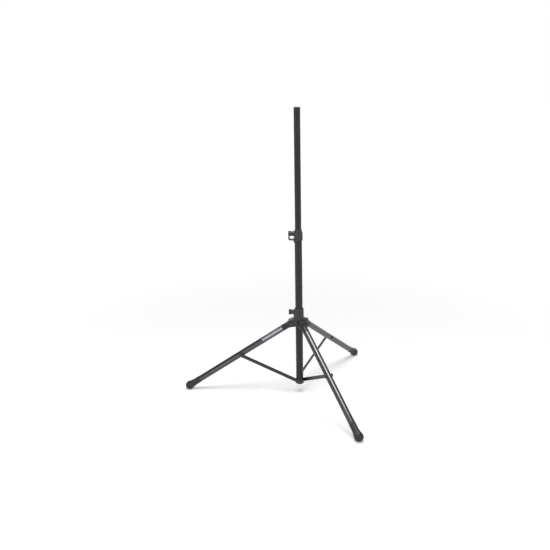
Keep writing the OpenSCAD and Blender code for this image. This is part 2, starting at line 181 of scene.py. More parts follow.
def plate(outline, low, high):
    """A bmesh plate from an outline of (x, z) pairs, as thick as from low to high along Y."""
    shape = bmesh.new()
    face = shape.faces.new([shape.verts.new((x * MM, low * MM, z * MM)) for x, z in outline])
    pushed = bmesh.ops.extrude_face_region(shape, geom=[face])
    corners = [item for item in pushed["geom"] if isinstance(item, bmesh.types.BMVert)]
    bmesh.ops.translate(shape, verts=corners, vec=(0, (high - low) * MM, 0))
    bmesh.ops.recalc_face_normals(shape, faces=shape.faces)
    return shape


def rod(radius, low, high, sides=48, end_radius=None):
    """A closed rod or cone along Z, in millimetres."""
    shape = bmesh.new()
    end_radius = radius if end_radius is None else end_radius
    bmesh.ops.create_cone(shape, cap_ends=True, segments=sides, radius1=radius * MM,
                          radius2=end_radius * MM, depth=(high - low) * MM,
                          matrix=Matrix.Translation((0, 0, (low + high) / 2 * MM)))
    return shape


def arc(centre, radius, start, end, steps):
    """Points on an arc, in degrees, from the first axis of the outline to its second."""
    angles = [math.radians(start + (end - start) * step / steps) for step in range(steps + 1)]
    return [(centre[0] + radius * math.cos(angle), centre[1] + radius * math.sin(angle))
            for angle in angles]


def rounded(corners, steps=5):
    """An outline from corners of (x, z, radius), each turned into an arc of its radius."""
    points = []
    for index, (x, z, radius) in enumerate(corners):
        corner = Vector((x, z))
        before, after = Vector(corners[index - 1][:2]), Vector(corners[(index + 1) % len(corners)][:2])
        if not radius:
            points.append((x, z))
            continue
        way_in, way_out = (before - corner).normalized(), (after - corner).normalized()
        half = way_in.angle(way_out) / 2
        centre = corner + (way_in + way_out).normalized() * radius / math.sin(half)
        first, last = (corner + way * radius / math.tan(half) - centre for way in (way_in, way_out))
        for step in range(steps + 1):
            points.append(tuple(centre + first.slerp(last, step / steps) * radius))
    return points


def moved(shape, matrix):
    bmesh.ops.transform(shape, matrix=matrix, verts=shape.verts)
    return shape


def lifted(shape, height):
    """The shape moved along Z by a height in millimetres."""
    return moved(shape, Matrix.Translation((0, 0, height * MM)))


def joined(*shapes):
    """One bmesh from several. The others are freed."""
    whole = shapes[0]
    for other in shapes[1:]:
        spare = bpy.data.meshes.new("spare")
        other.to_mesh(spare)
        other.free()
        whole.from_mesh(spare)
        bpy.data.meshes.remove(spare)
    return whole


CROSS = turned(-90, "X")


def cross(radius, low, high, **more):
    """A closed rod along Y."""
    return moved(rod(radius, low, high, **more), CROSS)


def sliced(shape, point, outward):
    """A closed shape without what lies outside a plane. The cut is filled."""
    cut = bmesh.ops.bisect_plane(shape, geom=shape.verts[:] + shape.edges[:] + shape.faces[:],
                                 plane_co=point, plane_no=outward, clear_outer=True)
    rim = [item for item in cut["geom_cut"] if isinstance(item, bmesh.types.BMEdge)]
    bmesh.ops.holes_fill(shape, edges=rim)
    return shape


# %% Helpers for modifiers
def temporary(name, shape):
    mesh = bpy.data.meshes.new(name)
    shape.to_mesh(mesh)
    shape.free()
    thing = bpy.data.objects.new(name, mesh)
    scene.collection.objects.link(thing)
    return thing


def discard(thing):
    mesh = thing.data
    bpy.data.objects.remove(thing)
    bpy.data.meshes.remove(mesh)


def settled(thing):
    """The bmesh of an object with its modifiers worked out. The object goes."""
    shape = bmesh.new()
    shape.from_object(thing, bpy.context.evaluated_depsgraph_get())
    discard(thing)
    return shape


def boolean(shape, other, operation):
    """The shape after a boolean with another closed shape, whose shells may overlap."""
    body, tool = temporary("body", shape), temporary("tool", other)
    change = body.modifiers.new("change", "BOOLEAN")
    change.operation, change.solver, change.use_self = operation, "EXACT", True
    change.object = tool
    result = settled(body)
    discard(tool)
    return result


def carved(shape, *cutters):
    """The shape with closed cutters taken out of it."""
    return boolean(shape, joined(*cutters), "DIFFERENCE")


def moulded(shape, grain_size, rounds=5):
    """Overlapping closed shells fused into one skin with soft corners, as a moulding has."""
    body = temporary("body", shape)
    skin = body.modifiers.new("skin", "REMESH")
    skin.mode, skin.voxel_size = "VOXEL", grain_size * MM
    fillet = body.modifiers.new("fillet", "SMOOTH")
    fillet.factor, fillet.iterations = 0.5, rounds
    return settled(body)


# %% Finished pieces
made = []


def piece(name, shape, body, material, place=None, replaces=()):
    """Turns a bmesh into a finished piece that rides on a body."""
    mesh = bpy.data.meshes.new(name)
    own = shape.verts.layers.float_vector.new("own_place")
    for vert in shape.verts:
        vert[own] = vert.co
        vert.co = place @ vert.co if place else vert.co
    for face in shape.faces:
        face.smooth = True
    shape.to_mesh(mesh)
    shape.free()
    thing = bpy.data.objects.new(name, mesh)
    scene.collection.objects.link(thing)
    even = thing.modifiers.new("even_shading", "WEIGHTED_NORMAL")
    even.weight = 100
    mesh.materials.append(material)
    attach(thing, body)
    if replaces:
        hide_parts(*replaces)
    made.append(thing)
    return thing


# %% [markdown]
# ## Finishes
# The whole stand is black, so the finishes have to differ in gloss and in fine relief and not in
# colour: a satin coating on the tubes, a fine grain on the mouldings, a soft bloom on the rubber.
# Three effects come back in several materials, so each is a node group. `fine_relief` is the
# bumpy skin of a coating or a mould, `handling` is the cloudy film that hands and dust leave, and
# `rubbed` is the long faint scratching of one tube that slides in another.

# %% Node groups
def group(name, inputs, outputs):
    """A new node group with its two ends. An input of None takes a vector."""
    tree = bpy.data.node_groups.new(name, "ShaderNodeTree")
    for label, value in inputs.items():
        kind = "NodeSocketVector" if value is None else "NodeSocketFloat"
        socket = tree.interface.new_socket(label, in_out="INPUT", socket_type=kind)
        if value is not None:
            socket.default_value = value
    for label in outputs:
        tree.interface.new_socket(label, in_out="OUTPUT", socket_type="NodeSocketFloat")
    return tree, tree.nodes.new("NodeGroupInput"), tree.nodes.new("NodeGroupOutput")


def noise(tree, vector, scale, detail=3, rough=0.5):
    node = tree.nodes.new("ShaderNodeTexNoise")
    node.inputs["Detail"].default_value = detail
    node.inputs["Roughness"].default_value = rough
    tree.links.new(vector, node.inputs["Vector"])
    if isinstance(scale, (int, float)):
        node.inputs["Scale"].default_value = scale
    else:
        tree.links.new(scale, node.inputs["Scale"])
    return node.outputs["Fac"]


def remap(tree, value, low, high, to_low=0.0, to_high=1.0):
    """A value led smoothly from one range to another, and held at its ends."""
    node = tree.nodes.new("ShaderNodeMapRange")
    node.interpolation_type = "SMOOTHSTEP"
    tree.links.new(value, node.inputs["Value"])
    for label, number in zip(("From Min", "From Max", "To Min", "To Max"),
                             (low, high, to_low, to_high)):
        node.inputs[label].default_value = number
    return node.outputs["Result"]


def math_node(tree, operation, first, second):
    node = tree.nodes.new("ShaderNodeMath")
    node.operation = operation
    for socket, value in zip(node.inputs, (first, second)):
        if isinstance(value, (int, float)):
            socket.default_value = value
        else:
            tree.links.new(value, socket)
    return node.outputs["Value"]


def make_fine_relief():
    tree, start, end = group("fine_relief", {"Place": None, "Scale": 900.0, "Broad": 0.3}, ["Height"])
    fine = noise(tree, start.outputs["Place"], start.outputs["Scale"], detail=2)
    wide_scale = math_node(tree, "MULTIPLY", start.outputs["Scale"], 0.22)
    wide = noise(tree, start.outputs["Place"], wide_scale, detail=1)
    height = math_node(tree, "ADD", fine, math_node(tree, "MULTIPLY", wide, start.outputs["Broad"]))
    tree.links.new(height, end.inputs["Height"])
    return tree


def make_handling():
    tree, start, end = group("handling", {"Place": None, "Size": 24.0, "Amount": 0.5}, ["Mask"])
    clouds = noise(tree, start.outputs["Place"], start.outputs["Size"], detail=5, rough=0.62)
    film = remap(tree, clouds, 0.42, 0.72)
    tree.links.new(math_node(tree, "MULTIPLY", film, start.outputs["Amount"]), end.inputs["Mask"])
    return tree


def make_rubbed():
    tree, start, end = group("rubbed", {"Place": None, "Amount": 0.5}, ["Mask"])
    stretch = tree.nodes.new("ShaderNodeMapping")
    stretch.inputs["Scale"].default_value = (900, 900, 7)
    tree.links.new(start.outputs["Place"], stretch.inputs["Vector"])
    lines = remap(tree, noise(tree, stretch.outputs["Vector"], 1.0, detail=2), 0.6, 0.74)
    patches = remap(tree, noise(tree, start.outputs["Place"], 9.0, detail=2), 0.45, 0.65)
    mask = math_node(tree, "MULTIPLY", math_node(tree, "MULTIPLY", lines, patches), start.outputs["Amount"])
    tree.links.new(mask, end.inputs["Mask"])
    return tree


FINE_RELIEF, HANDLING, RUBBED = make_fine_relief(), make_handling(), make_rubbed()


# %% [markdown]
# Every finish is then built the same way: a place to read, one relief, one film, and a Principled
# shader whose colour and roughness the masks push about. Black plastics and coatings reflect about
# four percent straight on and much more at a glancing angle, which is the shader's default.

# %% Materials
def use_group(tree, which, place, **values):
    node = tree.nodes.new("ShaderNodeGroup")
    node.node_tree = which
    tree.links.new(place, node.inputs["Place"])
    for label, value in values.items():
        node.inputs[label].default_value = value
    return node


def mixed(tree, mask, first, second):
    """A colour that the mask leads from the first, which may be another node's, to the second."""
    node = tree.nodes.new("ShaderNodeMix")
    node.data_type = "RGBA"
    if isinstance(first, bpy.types.NodeSocket):
        tree.links.new(first, node.inputs["A"])
    else:
        node.inputs["A"].default_value = (*first, 1)
    node.inputs["B"].default_value = (*second, 1)
    tree.links.new(mask, node.inputs["Factor"])
    return node.outputs["Result"]


def finish(name, colour, film, roughness, film_roughness, relief=(900, 0.3, 0.1), film_size=24.0,
           film_amount=0.5, rub=None, specular=0.5, metallic=0.0, own=True):
    """A procedural material. relief is scale, broad share and depth in tenths of a millimetre."""
    material = bpy.data.materials.new(name)
    material.use_nodes = True
    tree = material.node_tree
    shader = tree.nodes["Principled BSDF"]
    if own:
        source = tree.nodes.new("ShaderNodeAttribute")
        source.attribute_name = "own_place"
        place = source.outputs["Vector"]
    else:
        place = tree.nodes.new("ShaderNodeTexCoord").outputs["Object"]
    cloud = use_group(tree, HANDLING, place, Size=film_size, Amount=film_amount).outputs["Mask"]
    paint = mixed(tree, cloud, colour, film)
    rough = remap(tree, cloud, 0.0, 1.0, roughness, film_roughness)
    if rub:
        marks = use_group(tree, RUBBED, place, Amount=rub[0]).outputs["Mask"]
        paint = mixed(tree, marks, paint, rub[1])
    tree.links.new(paint, shader.inputs["Base Color"])
    tree.links.new(rough, shader.inputs["Roughness"])
    shader.inputs["Metallic"].default_value = metallic
    shader.inputs["Specular IOR Level"].default_value = specular
    scale, broad, depth = relief
    skin = use_group(tree, FINE_RELIEF, place, Scale=scale, Broad=broad)
    bump = tree.nodes.new("ShaderNodeBump")
    bump.inputs["Distance"].default_value = depth * 0.1 * MM
    bump.inputs["Strength"].default_value = 1.0
    tree.links.new(skin.outputs["Height"], bump.inputs["Height"])
    tree.links.new(bump.outputs["Normal"], shader.inputs["Normal"])
    return material


tube_coat = finish("tube_coat", (0.008, 0.008, 0.0085), (0.018, 0.018, 0.019), 0.26, 0.36,
                   relief=(700, 0.6, 0.1), rub=(0.3, (0.04, 0.04, 0.04)), specular=0.38)
mast_coat = finish("mast_coat", (0.007, 0.007, 0.0075), (0.016, 0.016, 0.017), 0.28, 0.4,
                   relief=(700, 0.6, 0.1), rub=(0.6, (0.045, 0.045, 0.047)), specular=0.36)
leg_coat = finish("leg_coat", (0.007, 0.007, 0.0075), (0.014, 0.014, 0.015), 0.17, 0.27,
                  relief=(600, 0.6, 0.06), rub=(0.25, (0.035, 0.035, 0.035)), specular=0.95)
bar_coat = finish("bar_coat", (0.012, 0.012, 0.0125), (0.024, 0.024, 0.025), 0.3, 0.42,
                  relief=(650, 0.6, 0.12), rub=(0.3, (0.05, 0.05, 0.05)), specular=0.5)
nylon = finish("nylon", (0.018, 0.018, 0.019), (0.036, 0.036, 0.037), 0.34, 0.48,
               relief=(1500, 0.5, 0.3), film_size=30, film_amount=0.6, specular=0.5)
knob_grain = finish("knob_grain", (0.016, 0.016, 0.017), (0.032, 0.032, 0.033), 0.38, 0.5,
                    relief=(1700, 0.4, 0.4), film_size=45, film_amount=0.5)
leg_end_grain = finish("leg_end_grain", (0.011, 0.011, 0.012), (0.024, 0.024, 0.025), 0.4, 0.52,
                       relief=(1500, 0.5, 0.3), film_size=30, film_amount=0.5, specular=0.45)
cap_gloss = finish("cap_gloss", (0.01, 0.01, 0.011), (0.024, 0.024, 0.025), 0.3, 0.42,
                   relief=(1200, 0.5, 0.15))
rubber = finish("rubber", (0.02, 0.02, 0.02), (0.06, 0.059, 0.057), 0.5, 0.66,
                relief=(1300, 0.6, 0.5), film_size=38, film_amount=0.55, specular=0.45)
dark_zinc = finish("dark_zinc", (0.09, 0.09, 0.094), (0.055, 0.053, 0.05), 0.3, 0.46,
                   relief=(1600, 0.3, 0.1), film_size=70, metallic=1.0)
film_ground = finish("film_ground", (0.15, 0.16, 0.19), (0.19, 0.2, 0.23), 0.4, 0.5,
                     relief=(1600, 0.3, 0.04), film_size=60)
film_bars = finish("film_bars", (0.62, 0.63, 0.7), (0.5, 0.51, 0.58), 0.4, 0.5,
                   relief=(1600, 0.3, 0.04), film_size=60)
bush_black = finish("bush_black", (0.012, 0.012, 0.012), (0.02, 0.02, 0.02), 0.36, 0.5,
                    relief=(1300, 0.4, 0.15), own=False)
turned_brass = finish("turned_brass", (0.52, 0.36, 0.13), (0.3, 0.2, 0.08), 0.25, 0.42,
                      relief=(2200, 0.2, 0.12), film_size=90, metallic=1.0, own=False)
spring_wire = finish("spring_wire", (0.5, 0.5, 0.5), (0.3, 0.3, 0.3), 0.25, 0.4,
                     relief=(2200, 0.2, 0.1), film_size=90, metallic=1.0, own=False)
inner_zinc = finish("inner_zinc", (0.1, 0.1, 0.104), (0.06, 0.058, 0.055), 0.3, 0.46,
                    relief=(1600, 0.3, 0.1), film_size=70, metallic=1.0, own=False)

CAD_FINISH = {
    "collar_bush": bush_black, "collar_pad": bush_black, "hub_bush": bush_black,
    "hub_pad": bush_black, "mast_guide": bush_black, "collar_insert": turned_brass,
    "hub_insert": turned_brass, "lock_spring": spring_wire, "upper_knob_stud": inner_zinc,
    "lower_knob_stud": inner_zinc,
}
for node, material in CAD_FINISH.items():
    frame["nodes"][node].data.materials.clear()
    frame["nodes"][node].data.materials.append(material)
print("finishes:", len(bpy.data.materials), "materials,", len(bpy.data.node_groups), "groups")

# %% [markdown]
# ## The two pole tubes
# A drawn tube is a ring turned about its axis. Both tubes get the wall they really have, with the
# corners broken, and the mast gets its row of lock holes, cut with a boolean on the side where the
# lock pin is. The holes stand at the pin's height and at every step above and below it. A fine
# ring near the mast's end shows how deep a loudspeaker's socket has to sit.

# %% Pole tubes
HOLE_PITCH = 60
HOLES_ABOVE, HOLES_BELOW = 8, 3
HOLE_RADIUS = 3.3
MAST_WALL, MAIN_WALL, LEG_WALL = 2.0, 1.75, 1.8
SOCKET_DEPTH = 120
GROOVE_WIDTH, GROOVE_DEPTH = 1.2, 0.28


def tube(radius, wall, low, high, groove=None):
    """A tube, with a fine ring turned into it below one height where a groove is asked for."""
    ring = [(radius, low), (radius, high), (radius - wall, high), (radius - wall, low)]
    if groove:
        foot = groove - GROOVE_WIDTH
        ring[1:1] = [(radius, foot), (radius - GROOVE_DEPTH, foot + GROOVE_DEPTH),
                     (radius - GROOVE_DEPTH, groove - GROOVE_DEPTH), (radius, groove)]
    return soften(lathe(ring, closed=True), 0.35, sharp=60)


def ends(node):
    low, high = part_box(node)
    return low.z / MM, high.z / MM


mast_radius = size("mast_tube").x / 2 / MM
main_radius = size("main_tube").x / 2 / MM
mast_low, mast_high = ends("mast_tube")
lock_height = lock_place.translation.z / MM
holes = [moved(rod(HOLE_RADIUS, 8, 30), clamp_place((lock_height + step * HOLE_PITCH) * MM))
         for step in range(-HOLES_BELOW, HOLES_ABOVE + 1)]
mast = carved(tube(mast_radius, MAST_WALL, mast_low, mast_high, groove=mast_high - SOCKET_DEPTH), *holes)
piece("mast", mast, "mast", mast_coat, replaces=["mast_tube"])
main_column = carved(tube(main_radius, MAIN_WALL, *ends("main_tube")),
                     moved(rod(HOLE_RADIUS, 8, 30), lock_place))
piece("main_column", main_column, "column", tube_coat, replaces=["main_tube"])
print(f"mast {2 * mast_radius:.1f} mm, main tube {2 * main_radius:.1f} mm across")

# %% [markdown]
# The mast's end cap is a moulded plug. Only its disc shows: a flat top with a rolled rim and a
# shallow dish, which keeps a loudspeaker's socket from cutting into the tube's end.

# %% Mast cap
cap_low, cap_high = ends("mast_cap")
cap_radius = size("mast_cap").x / 2 / MM
mast_inner = mast_radius - MAST_WALL
cap_disc = mast_high
cap = lathe([(0, cap_low + 2), (mast_inner - 3, cap_low + 2), (mast_inner - 1, cap_low),
             (mast_inner - 0.05, cap_low + 2), (mast_inner - 0.05, cap_disc + 0.02),
             (cap_radius, cap_disc + 0.02), (cap_radius, cap_high - 0.9), (cap_radius - 0.9, cap_high),
             (cap_radius - 4.5, cap_high), (cap_radius - 5.5, cap_high - 0.7), (4, cap_high - 0.7),
             (3, cap_high - 1.2), (0, cap_high - 1.2)])
piece("mast_end_cap", soften(cap, 0.3, sharp=30), "mast", cap_gloss,
      replaces=["mast_cap"])

# %% [markdown]
# ## The collar
# The collar is one moulding: a barrel that tapers to a thin lip round the mast, a boss for the
# clamp screw, a smaller boss for the lock pin and a rib that runs down the tube. Rounded shapes
# that flow into each other are hard to join edge by edge. It is easier to let closed shells
# overlap, fuse them into one skin with a fine voxel remesh, and smooth that skin a little, which
# leaves the soft inside corners that a mould has. The bores are cut before, so that they soften too.

# %% Collar
collar_low, collar_high = ends("upper_collar")
main_high = ends("main_tube")[1]
collar_radius = size("upper_collar").y / 2 / MM
collar_base = collar_low + 13
upper_face = -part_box("collar_insert")[0].x / MM
insert_radius = size("collar_insert").y / 2 / MM
lock_face = -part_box("lock_cap")[0].x / MM
pocket_radius = size("lock_cap").y / 2 / MM
BOSS_RADIUS, LOCK_BOSS_RADIUS = 14.0, 6.8


def boss(root, face, flare, draft):
    """A clamp screw's boss along Z, wider at its root by the flare, with a rounded rim at its face."""
    return lathe([(0, root), (BOSS_RADIUS + flare, root), (BOSS_RADIUS + draft, face - 6),
                  (BOSS_RADIUS, face - 1), (BOSS_RADIUS - 1, face), (0, face)])


barrel = lathe([(0, collar_base), (collar_radius - 2, collar_base), (collar_radius, collar_base + 2.2),
                (collar_radius, collar_base + 8), (collar_radius - 1, collar_base + 9.4),
                (collar_radius - 1, collar_high - 29), (collar_radius, collar_high - 27.6),
                (collar_radius, collar_high - 22), (collar_radius - 1.2, collar_high - 15),
                (collar_radius - 3.6, collar_high - 7.5), (mast_radius + 2.2, collar_high - 1.2),
                (mast_radius + 1.4, collar_high), (0, collar_high)])
clamp_boss = moved(boss(14, upper_face, 1.5, 0.4), upper_clamp)
lock_boss = moved(lathe([(0, 14), (LOCK_BOSS_RADIUS + 1.5, 14), (LOCK_BOSS_RADIUS + 1.5, collar_radius),
                         (LOCK_BOSS_RADIUS, lock_face - 3), (LOCK_BOSS_RADIUS, lock_face - 0.8),
                         (LOCK_BOSS_RADIUS - 0.8, lock_face), (0, lock_face)]), lock_place)
rib = plate([(-10, collar_low), (-22, collar_low), (-26.5, collar_base - 2), (-27, lock_height - 2),
             (-10, lock_height)], -4.5, 4.5)
side_ribs = [moved(plate([(-collar_radius - 0.1, collar_base + 6), (-collar_radius - 0.1, collar_high - 26),
                          (-20, collar_high - 26), (-20, collar_base + 6)], -1, 1), turned(turn, "Z"))
             for turn in range(60, 301, 30)]
collar = carved(
    joined(barrel, clamp_boss, lock_boss, rib, *side_ribs),
    rod(main_radius + 0.05, collar_low - 5, main_high + 2.5, sides=ROUND),
    rod(mast_radius + 0.4, main_high, collar_high + 5, sides=ROUND),
    moved(rod(insert_radius, upper_face - 9, upper_face + 5), upper_clamp),
    moved(rod(5, 5, upper_face - 5), upper_clamp),
    moved(rod(pocket_radius + 0.2, 19, lock_face + 5), lock_place),
)
collar = moulded(collar, 0.6, rounds=5)
piece("collar", collar, "column", nylon, replaces=["upper_collar"])
print("collar:", len(made[-1].data.polygons), "faces")

# %% [markdown]
# ## The hub
# The hub slides on the main tube and holds the legs. Its neck is the sleeve that the lower screw
# clamps; below it three pairs of ears reach out over the leg ends, each pair under a short roof.
# The ears are hollowed a little on the outside, with a rim and a round seat for the bolt, as
# mouldings are to keep their walls even. It is fused from shells in the same way as the collar.

# %% Hub
hub_high = ends("leg_hub")[1]
lower_face = -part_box("hub_insert")[0].x / MM
bush_radius = size("hub_bush").x / 2 / MM
NECK_RADIUS, NECK_LIP, NECK_TAPER = 27.5, 23.9, 12.0
ARM_ROOT, ARM_FOOT, ARM_TOP = 15.0, 16.0, 30.0
ROOF_REACH, EAVE, ROOF_WALL = 62.0, 15.5, 4.5
POCKET_START, POCKET_TOP = 28.6, 18.0
EAR_RADIUS = 20.0
EAR_GAP = 35.4
EAR_OUT = 22.0
PIVOT_HOLE, PIVOT_SEAT = 4.1, 9.2
pivot_z = pivot_height / MM
reach_mm = pivot_reach / MM
pivot_shift = Matrix.Translation((pivot_reach, 0, 0))


def arm_outline(inset=0.0):
    """The hub's arm seen from the side: its root, the sloping roof and the round ear."""
    ear = EAR_RADIUS - inset
    root = ARM_ROOT + inset
    roof = rounded([(root, ARM_TOP - inset, 0), (NECK_RADIUS, ARM_TOP - inset, 6),
                    (ROOF_REACH - inset, EAVE - inset, 4.5), (ROOF_REACH + 2.5 - inset, 3, 0)])[:-1]
    return [(root, -ARM_FOOT + inset)] + arc((reach_mm, 0), ear, -96, 8, 14) + roof[::-1]


neck = lathe([(0, pivot_z - 4), (NECK_RADIUS - 0.5, pivot_z - 4), (NECK_RADIUS, pivot_z + 34),
              (NECK_RADIUS - 0.8, pivot_z + 42), (NECK_RADIUS - 0.8, hub_high - NECK_TAPER - 3),
              (NECK_RADIUS, hub_high - NECK_TAPER - 1.4), (NECK_RADIUS, hub_high - NECK_TAPER),
              (NECK_LIP + 0.5, hub_high - 1.2), (NECK_LIP, hub_high), (0, hub_high)])
core = rod(26, pivot_z - ARM_FOOT, pivot_z + ARM_TOP, sides=ROUND)
skirt = rod(NECK_RADIUS + 2, pivot_z + 24, pivot_z + 36, sides=ROUND, end_radius=NECK_RADIUS - 1)
screw_boss = moved(boss(18, lower_face, 2, 0.5), lower_clamp)
boss_rib = plate([(-20, pivot_z + 26), (-31, pivot_z + 26), (4 - lower_face, pivot_z + 56),
                  (-20, pivot_z + 62)], -2.5, 2.5)
hub_shells, hub_cutters = [neck, core, skirt, screw_boss, boss_rib], []
for side in SIDES:
    panel = arm_outline(inset=3)
    for outer in (-1, 1):
        low, high = sorted((outer * (EAR_OUT - 1.3), outer * (EAR_OUT + 5)))
        seat = moved(cross(PIVOT_SEAT, -EAR_OUT - 9, EAR_OUT + 9), pivot_shift)
        recess = carved(plate(panel, low, high), seat)
        hub_cutters.append(moved(recess, side_turn[side]))
    hub_shells.append(moved(plate(arm_outline(), -EAR_OUT, EAR_OUT), side_turn[side]))
    pocket = [(POCKET_START, -60), (POCKET_START, POCKET_TOP - 2), (POCKET_START + 2, POCKET_TOP),
              (reach_mm, POCKET_TOP), (ROOF_REACH + 1, EAVE - ROOF_WALL), (95, EAVE - ROOF_WALL), (95, -60)]
    hub_cutters.append(moved(plate(pocket, -EAR_GAP / 2, EAR_GAP / 2), side_turn[side]))
    bolt_hole = moved(cross(PIVOT_HOLE, -EAR_OUT - 5, EAR_OUT + 5), pivot_shift)
    hub_cutters.append(moved(bolt_hole, side_turn[side]))
hub_cutters += [rod(bush_radius, pivot_z - 40, hub_high + 5, sides=ROUND),
                moved(rod(insert_radius, lower_face - 9, lower_face + 5), lower_clamp)]
hub = moulded(carved(joined(*hub_shells), *hub_cutters), 0.9, rounds=4)
piece("hub", hub, "hub", nylon, replaces=["leg_hub"])
print("hub:", len(made[-1].data.polygons), "faces")

# %% [markdown]
# ## Bolts, nuts and screws
# A hexagon head is a six-sided prism with its corners turned off by a cone, so it is the overlap
# of a prism and a lathe shape. A screw head here is a dome with a hexagon socket. Each has its own
# function and is modelled on its own axis, and is moved into place afterwards.

# %% Fasteners
SCREW_RADIUS = 3.0
SCREW_HEAD = (6.5, 3.4)


def hexagon(corner_radius, low, high, chamfer=0.9):
    """A bolt head or nut: a prism with its upper corners turned off."""
    flat = corner_radius * math.cos(math.pi / 6)
    limit = lathe([(0, low - 1), (corner_radius + 1, low - 1), (corner_radius + 1, high - chamfer),
                   (flat - 0.3, high), (0, high)])
    head = boolean(rod(corner_radius, low, high, sides=6), limit, "INTERSECT")
    return soften(head, 0.12, sharp=24, segments=2)


def button_head(radius, height, socket=3.0, sides=64):
    """A domed screw head that stands on z = 0, with a hexagon socket."""
    dome = lathe([(0, 0), (radius - 0.3, 0), (radius, 0.5), (radius * 0.97, height * 0.45),
                  (radius * 0.82, height * 0.82), (radius * 0.62, height), (0, height)], steps=sides)
    hollow = rod(socket, height - 2, height + 2, sides=6)
    return soften(carved(dome, hollow), 0.1, sharp=40, segments=2)


def screw(head, seat, tip, rooted=0.5):
    """A button-head screw along Z, with its head on the seat and its shank down to the tip."""
    return joined(lifted(button_head(*head), seat), rod(SCREW_RADIUS, tip, seat + rooted))


def washer(radius, hole, low, high):
    ring = [(hole, low), (radius, low), (radius, high), (hole, high)]
    return soften(lathe(ring, steps=64, closed=True), 0.15, sharp=60, segments=2)


# %% [markdown]
# Each leg swings on one bolt through both of its ears. The bolt shows its head on one side and,
# on the other, its tip in a lock nut, whose ring of nylon stands a little proud of the hexagon.

# %% Pivot bolts
BOLT_RADIUS, BOLT_TIP = 3.95, 7.0
HEX_RADIUS, HEX_HEIGHT, NUT_HEIGHT = 7.4, 4.5, 4.9
WASHER_RADIUS, WASHER_HEIGHT = 8.4, 0.9
RING_RADIUS, RING_HEIGHT = 5.9, 6.0


def hexagon_on_washer(height):
    """A head or nut that stands on z = 0, on its washer."""
    return joined(hexagon(HEX_RADIUS, WASHER_HEIGHT - 0.1, height),
                  washer(WASHER_RADIUS, 4, 0, WASHER_HEIGHT))


bolt_set, nut_set = [], []
for side in SIDES:
    seat = side_turn[side] @ pivot_shift
    head_way, nut_way = seat @ turned(90, "X"), seat @ turned(-90, "X")
    shank = rod(BOLT_RADIUS, -EAR_OUT, EAR_OUT + 1)
    bolt_set.append(moved(joined(lifted(hexagon_on_washer(HEX_HEIGHT), EAR_OUT), shank), head_way))
    tip = joined(rod(BOLT_RADIUS, -1, BOLT_TIP - 0.6, end_radius=3.9),
                 rod(3.9, BOLT_TIP - 0.6, BOLT_TIP, end_radius=3.3))
    bolt_set.append(moved(lifted(tip, EAR_OUT), nut_way))
    ring = lathe([(4, RING_HEIGHT - 1.5), (RING_RADIUS, RING_HEIGHT - 1.5),
                  (RING_RADIUS, RING_HEIGHT - 0.6), (RING_RADIUS - 0.7, RING_HEIGHT),
                  (4.4, RING_HEIGHT), (4, RING_HEIGHT - 0.4)], closed=True)
    nut_set.append(moved(lifted(joined(hexagon_on_washer(NUT_HEIGHT), ring), EAR_OUT), nut_way))
piece("pivot_bolt_set", joined(*bolt_set), "hub", dark_zinc, replaces=["pivot_bolts"])
piece("pivot_nut_set", joined(*nut_set), "hub", dark_zinc, replaces=["pivot_nuts"])

# %% [markdown]
# ## The knobs
# A clamp knob has to give a hand enough leverage to lock the stand, so it has two broad wings that
# grow out of a round root. The root is turned and narrows towards its end, the wings are one plate
# with round corners, and the two are fused and smoothed until they look moulded in one piece.

# %% Knobs
KNOB_TURN = 14
KNOB_OFF_BOSS = 1.2
KNOB_HALF_SPAN, KNOB_ROOT, KNOB_WAIST = 14.4, 12.4, 13.2
WING_HALF = 5.3


def knob(face, tip):
    """A wing knob along Z, from just off its boss to its tip."""
    foot = face + KNOB_OFF_BOSS
    root = lathe([(0, foot), (KNOB_ROOT - 0.6, foot), (KNOB_ROOT, foot + 0.6), (KNOB_ROOT, foot + 3.2),
                  (KNOB_ROOT - 0.6, foot + 4.4), (KNOB_ROOT - 2, foot + 12), (KNOB_ROOT - 3.2, tip - 3.4),
                  (KNOB_ROOT - 4.8, tip - 2.2), (0, tip - 2.8)], steps=64)
    half = rounded([(0, tip - 2.2, 0), (8, tip - 0.4, 6), (KNOB_HALF_SPAN, tip, 3.2),
                    (KNOB_HALF_SPAN, foot + 9, 3), (KNOB_WAIST, foot + 5, 3), (KNOB_WAIST, foot + 2.2, 0),
                    (0, foot + 2.2, 0)])[1:-1]
    wings = plate(half + [(-x, z) for x, z in half[::-1]], -WING_HALF, WING_HALF)
    return moulded(joined(root, moved(wings, turned(KNOB_TURN, "Z"))), 0.4, rounds=8)


for name, face, clamp in (("upper_knob", upper_face, upper_clamp), ("lower_knob", lower_face, lower_clamp)):
    tip = -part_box(f"{name}_grip")[0].x / MM
    piece(f"{name}_wing", knob(face, tip), name, knob_grain, place=clamp,
          replaces=[f"{name}_grip"])
print("knob:", len(made[-1].data.polygons), "faces")

# %% [markdown]
# ## The lock pin
# The pin is turned steel, with a flange that its spring pushes on. A moulded hook on its outer end
# turns up beside the knob, so that one finger pulls the pin. The hook is an L of two arms with
# round corners, so its outline is a handful of corners, each with a radius. A plate of it and a
# socket round the pin are fused and smoothed, as the knobs are.

